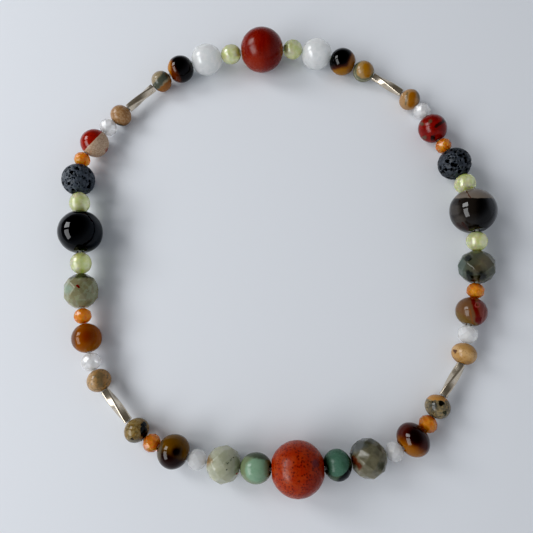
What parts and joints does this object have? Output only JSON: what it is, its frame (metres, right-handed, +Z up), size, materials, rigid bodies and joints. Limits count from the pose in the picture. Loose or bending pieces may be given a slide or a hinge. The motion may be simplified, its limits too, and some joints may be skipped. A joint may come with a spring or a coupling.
{
  "type": "beaded bracelet",
  "caption": "Stretch bracelet of round, faceted and tube beads of mixed stones, metal and glass strung on one elastic in a closed loop.",
  "frame": {"origin": "on the surface that the bracelet lies on, under the middle of its bounding box", "axes": "+Z up, square to the loop; +Y across the loop towards the red jasper bead, its longer way; +X to the right of that"},
  "size_m": [0.0732, 0.0794, 0.008],
  "materials": {
    "red_jasper": "polished",
    "coral": "satin, speckled",
    "agate": "polished, banded",
    "onyx": "high polish",
    "lava": "rough, pitted",
    "crystal": "polished, slightly milky",
    "jasper": "polished, mottled",
    "tiger_eye": "polished, banded",
    "carnelian": "polished",
    "green_stone": "polished",
    "picture_jasper": "polished, mottled",
    "prehnite": "polished, translucent",
    "smoky_stone": "polished flat facets",
    "clear_stone": "polished flat facets",
    "amber_stone": "polished flat facets",
    "metal_tube": "bright silver-coloured plating on brass",
    "elastic": "translucent, satin"
  },
  "bodies": {
    "root": {"red_jasper": "red_jasper", "prehnite_1": "prehnite", "rock_crystal_1": "crystal", "tiger_eye_1": "tiger_eye", "picture_jasper_1": "picture_jasper", "metal_tube_1": "metal_tube", "picture_jasper_2": "picture_jasper", "clear_facet_1": "clear_stone", "brecciated_jasper": "jasper", "amber_facet_1": "amber_stone", "lava_1": "lava", "prehnite_2": "prehnite", "banded_agate": "agate", "prehnite_3": "prehnite", "smoky_facet_1": "smoky_stone", "amber_facet_2": "amber_stone", "brown_agate": "carnelian", "clear_facet_2": "clear_stone", "picture_jasper_3": "picture_jasper", "metal_tube_2": "metal_tube", "picture_jasper_4": "picture_jasper", "amber_facet_3": "amber_stone", "tiger_eye_2": "tiger_eye", "clear_facet_3": "clear_stone", "smoky_facet_2": "smoky_stone", "green_stone_1": "green_stone", "red_coral": "coral", "green_stone_2": "green_stone", "smoky_facet_3": "smoky_stone", "clear_facet_4": "clear_stone", "tiger_eye_3": "tiger_eye", "amber_facet_4": "amber_stone", "picture_jasper_5": "picture_jasper", "metal_tube_3": "metal_tube", "picture_jasper_6": "picture_jasper", "clear_facet_5": "clear_stone", "carnelian": "carnelian", "amber_facet_5": "amber_stone", "smoky_facet_4": "smoky_stone", "prehnite_4": "prehnite", "black_onyx": "onyx", "prehnite_5": "prehnite", "lava_2": "lava", "amber_facet_6": "amber_stone", "two_tone_jasper": "jasper", "clear_facet_6": "clear_stone", "picture_jasper_7": "picture_jasper", "metal_tube_4": "metal_tube", "picture_jasper_8": "picture_jasper", "tiger_eye_4": "tiger_eye", "rock_crystal_2": "crystal", "prehnite_6": "prehnite", "elastic_cord": "elastic"}
  },
  "joints": []
}
